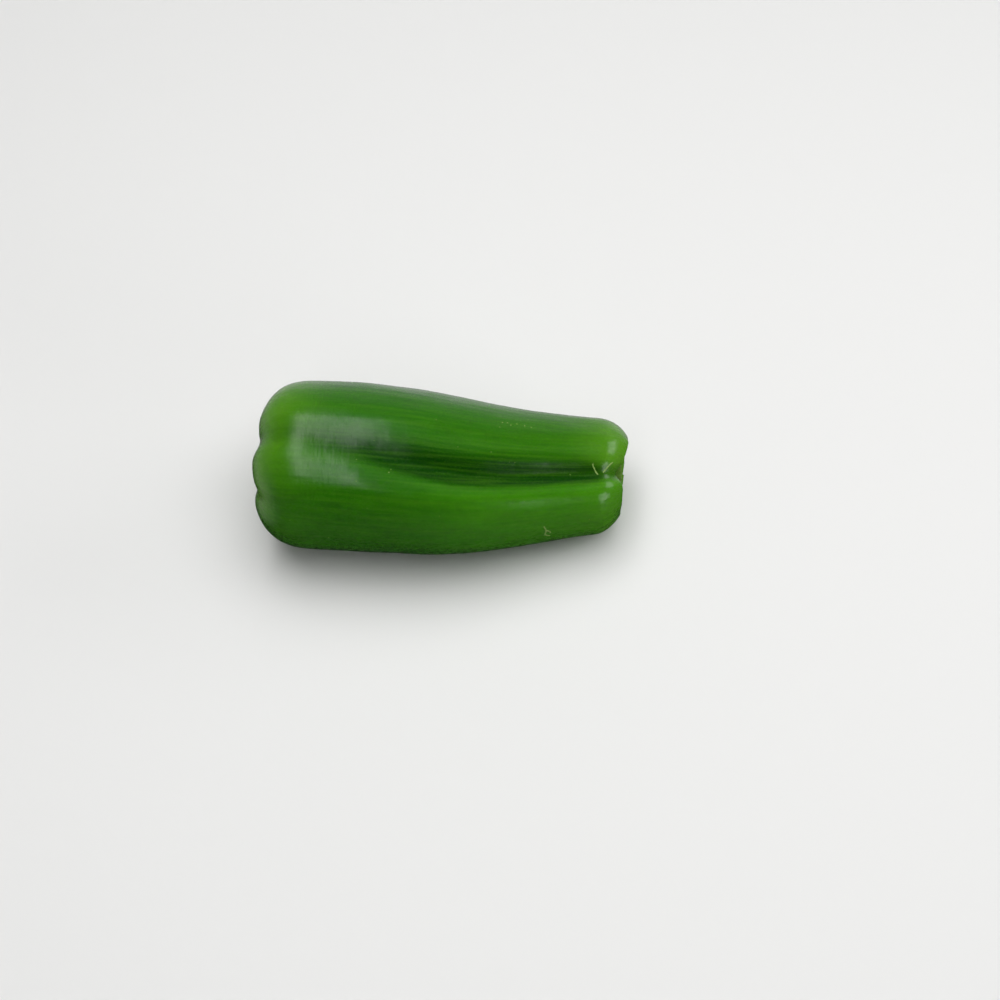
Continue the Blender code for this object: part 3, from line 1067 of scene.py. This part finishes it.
# %% The specks
def speck_tree():
    tree, given, result = new_tree(
        "Specks",
        "GeometryNodeTree",
        {
            "Chosen": ("Geometry", None),
            "Fruit": ("Object", None),
            "Per Square Metre": ("Float", 2000.0),
            "Smallest": ("Float", 0.00010),
            "Largest": ("Float", 0.00028),
            "Chosen Size": ("Float", 0.00034),
            "Seed": ("Int", 5),
            "Dry Skin": ("Material", None),
        },
        {"Geometry": "Geometry"},
    )
    fruit_geometry = geometry_of(tree, given["Fruit"])
    speck = flow(tree, "GeometryNodeMeshIcoSphere", {"Radius": 1.0, "Subdivisions": 2})
    speck = flow(tree, "GeometryNodeTransform", {"Geometry": speck, "Scale": (1.0, 1.0, 0.4)})

    inputs = {"Mesh": fruit_geometry, "Density": given["Per Square Metre"], "Seed": given["Seed"]}
    scattered = add_node(tree, "GeometryNodeDistributePointsOnFaces", inputs)
    limits = {2: given["Smallest"], 3: given["Largest"], "Seed": given["Seed"]}
    size = Wire(tree, add_node(tree, "FunctionNodeRandomValue", limits, data_type="FLOAT").outputs[1])
    inputs = {
        "Points": Wire(tree, scattered.outputs["Points"]),
        "Instance": speck,
        "Rotation": Wire(tree, scattered.outputs["Rotation"]),
        "Scale": vector(tree, size, size, size),
    }
    everywhere = flow(tree, "GeometryNodeInstanceOnPoints", inputs)

    points = flow(tree, "GeometryNodeMeshToPoints", {"Mesh": given["Chosen"]})
    place, normal = onto_skin(tree, fruit_geometry, position(tree))
    turn = flow(tree, "FunctionNodeAlignRotationToVector", {"Vector": normal}, axis="Z")
    turned = store(points, "turn", turn, "QUATERNION")
    placed = set_place(turned, place)
    jitter = given["Chosen Size"] * (1 + 0.8 * noise(position(tree), (0.001, 0.001, 0.001), 1.0))
    inputs = {
        "Points": placed,
        "Instance": speck,
        "Rotation": stored(tree, "turn", "QUATERNION"),
        "Scale": vector(tree, jitter, jitter, jitter),
    }
    in_rows = flow(tree, "GeometryNodeInstanceOnPoints", inputs)
    both = tree.nodes.new("GeometryNodeJoinGeometry")
    plug(tree, everywhere, both.inputs[0])
    plug(tree, in_rows, both.inputs[0])
    finish_geometry(tree, Wire(tree, both.outputs[0]), given["Dry Skin"], result)
    return tree


CHOSEN_SPECKS = [
    (101.5, 74.5), (103.6, 73.8), (105.0, 75.6), (107.4, 73.0),
    (110.6, 73.6), (113.2, 74.4), (56.2, 123), (57.0, 121),
]
specks = grow(
    "skin_specks",
    speck_tree(),
    {"Fruit": fruit, "Per Square Metre": 2500.0, "Smallest": 0.00008, "Largest": 0.0002,
     "Chosen Size": 0.0003, "Seed": 5, "Dry Skin": dry_skin},
    seedling("speck_row", [on_skin(*place) for place in CHOSEN_SPECKS], False),
)
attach(specks, "root")


# %% [markdown]
# ## The blossom scar
#
# In the middle of the blossom end is the small dry spot where the flower fell off. It stands up a little
# from the skin, so it isn't painted on. It is a thin piece of its own that follows the fruit.

# %% The blossom scar
def blossom_scar_tree():
    tree, given, result = new_tree(
        "Blossom Scar",
        "GeometryNodeTree",
        {
            "Fruit": ("Object", None),
            "Centre": ("Vector", None),
            "Radius": ("Float", 0.0017),
            "Thickness": ("Float", 0.0005),
            "Seed": ("Float", 1.0),
            "Cork": ("Material", None),
        },
        {"Geometry": "Geometry"},
    )
    geometry = ball(tree, 48, 30)
    share, angle = stored(tree, "share"), stored(tree, "angle")
    cosine, sine = calculate("COSINE", angle), calculate("SINE", angle)
    out = calculate("MAXIMUM", calculate("SINE", share * math.pi), 0.0) ** 0.8
    up = calculate("COSINE", share * math.pi)
    uneven = 1 + 0.7 * noise(vector(tree, cosine, sine, 0.0), (0.6, 0.6, 0.6), given["Seed"])
    radius = given["Radius"] * out * uneven
    flat = vector_math("ADD", vector(tree, -0.2, radius * cosine, radius * sine), given["Centre"])
    seat, _ = cast(tree, geometry_of(tree, given["Fruit"]), flat, (1.0, 0.0, 0.0))
    seat_x, y, z = split(seat)
    rough = 0.0004 * noise(vector(tree, y, z, 0.0), (0.0006, 0.0006, 1.0), given["Seed"])
    top = given["Thickness"] * (1 - 0.7 * smoothstep(out, 0.7, 0.1)) + rough
    x = seat_x + 0.0002 - (top + 0.0002) * smoothstep(up, -0.2, 0.5)
    geometry = set_place(geometry, vector(tree, x, y, z))
    finish_geometry(tree, geometry, given["Cork"], result)
    return tree


def cork_material():
    material, tree, shader = new_material("blossom_cork", Roughness=0.85, Specular_IOR_Level=0.2)
    grain = Wire(tree, tree.nodes.new("ShaderNodeTexCoord").outputs["Object"])
    clouds = mask_of(MOTTLING, grain, Size=0.0008, Sharpness=0.3)
    pores = mask_of(PORES, grain, Spacing=0.0004, Size=0.35)
    colour = blend((0.16, 0.12, 0.05, 1), (0.36, 0.33, 0.17, 1), clouds)
    colour = blend(colour, (0.05, 0.04, 0.02, 1), pores * 0.7)
    plug(tree, colour, shader.inputs["Base Color"])
    bump(tree, shader, pores * -0.00008)
    return material


blossom_scar = grow(
    "blossom_scar",
    blossom_scar_tree(),
    {"Fruit": fruit, "Centre": Vector((0.0, 0.0, 0.0355)), "Radius": 0.0017, "Thickness": 0.0005,
     "Seed": 1.0, "Cork": cork_material()},
)
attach(blossom_scar, "root")


# %% [markdown]
# ## Camera
#
# The camera looks down at the pepper from well above, through a fairly long lens. From close by, a short
# lens would make the near side bulge.

# %% Camera
def look_from(target, azimuth, elevation, distance, lens):
    """A camera that looks at a point from an angle. Azimuth 0 looks along +Y."""
    turn, lift_angle = math.radians(azimuth), math.radians(elevation)
    eye = Vector((
        math.sin(turn) * math.cos(lift_angle), -math.cos(turn) * math.cos(lift_angle), math.sin(lift_angle)
    ))
    camera = bpy.data.objects.new("camera", bpy.data.cameras.new("camera"))
    camera.data.lens = lens
    camera.location = target + distance * eye
    camera.rotation_euler = (-eye).to_track_quat("-Z", "Y").to_euler()
    bpy.context.scene.collection.objects.link(camera)
    bpy.context.scene.camera = camera
    return camera


middle = (Vector(CAD_BOX[0]) + Vector(CAD_BOX[1])) / 2
look_from(middle + Vector((0.0236, -0.0111, -0.0064)), 0, 60, 0.85, 73.8)
bpy.context.scene.view_settings.view_transform = "Standard"


# %% [markdown]
# ## Lights
#
# A waxy skin mirrors its lamps, so each highlight gets a lamp of its own. Two long softboxes overhead give
# both top lobes their broad highlight, and two smaller ones at the stem end pick out the shoulders. One
# big lamp would whiten the whole skin. So the fill lamp, which carries most of the light, is hidden from
# reflections. The world adds a faint sheen at the back and at the blossom end.

# %% Lights
def softbox(name, place, aim, width, depth, brightness, mirrored=True, turn=0):
    """A rectangular lamp whose face has this brightness, turned by some degrees in its own plane."""
    lamp = bpy.data.objects.new(name, bpy.data.lights.new(name, "AREA"))
    lamp.data.shape = "RECTANGLE"
    lamp.data.size, lamp.data.size_y = width, depth
    lamp.data.energy = brightness * math.pi * width * depth
    lamp.location = place
    facing = (Vector(aim) - Vector(place)).to_track_quat("-Z", "Y")
    lamp.rotation_euler = (facing @ Quaternion((0, 0, 1), math.radians(turn))).to_euler()
    lamp.visible_glossy = mirrored
    bpy.context.scene.collection.objects.link(lamp)
    return lamp


softbox("overhead_softbox", (-0.27, -0.30, 1.0), (-0.27, -0.30, 0.0), 0.30, 1.75, 1.3, turn=-5)
softbox("overhead_glow", (-0.21, -0.30, 0.99), (-0.21, -0.30, 0.0), 0.18, 1.6, 1.3, turn=-5)
softbox("shoulder_softbox", (0.84, -0.62, 0.24), (0.06, 0.0, 0.03), 0.46, 0.46, 2.4)
softbox("stem_end_softbox", (0.95, 0.26, 0.47), (0.06, 0.0, 0.04), 0.66, 0.42, 2.4)
softbox("fill_lamp", (0.1, 0.10, 1.2), (0.0, 0.0, 0.0), 1.4, 1.2, 2.7, mirrored=False)

world = bpy.data.worlds.new("studio")
bpy.context.scene.world = world
world.use_nodes = True
sky = world.node_tree
direction = Wire(sky, sky.nodes.new("ShaderNodeTexCoord").outputs["Generated"])
to_x, to_y, to_z = split(direction)
glow = smoothstep(to_y, 0.35, 0.95, 0.008, 0.42) + smoothstep(to_x * -1, 0.55, 1.0, 0.0, 0.35)
glow = glow * (1 - 0.9 * to_z)
seen = Wire(sky, sky.nodes.new("ShaderNodeLightPath").outputs["Is Camera Ray"])
plug(sky, mix(glow, 0.8, seen), sky.nodes["Background"].inputs["Strength"])
sky.nodes["Background"].inputs["Color"].default_value = (1.0, 1.0, 1.0, 1.0)


# %% [markdown]
# ## Floor and finish
#
# The floor is pale and plain, and belongs to the stage. It is hidden from reflections too, so that the
# dark sides stay as deep a green as they are when a pepper lies among other peppers.

# %% Floor
bpy.ops.mesh.primitive_plane_add(size=2.4)
floor = bpy.context.object
floor.name = "floor"
floor_paint, _, _ = new_material("pale_floor", Base_Color=(0.82, 0.82, 0.81, 1), Roughness=0.8)
floor.data.materials.append(floor_paint)
floor.visible_glossy = False
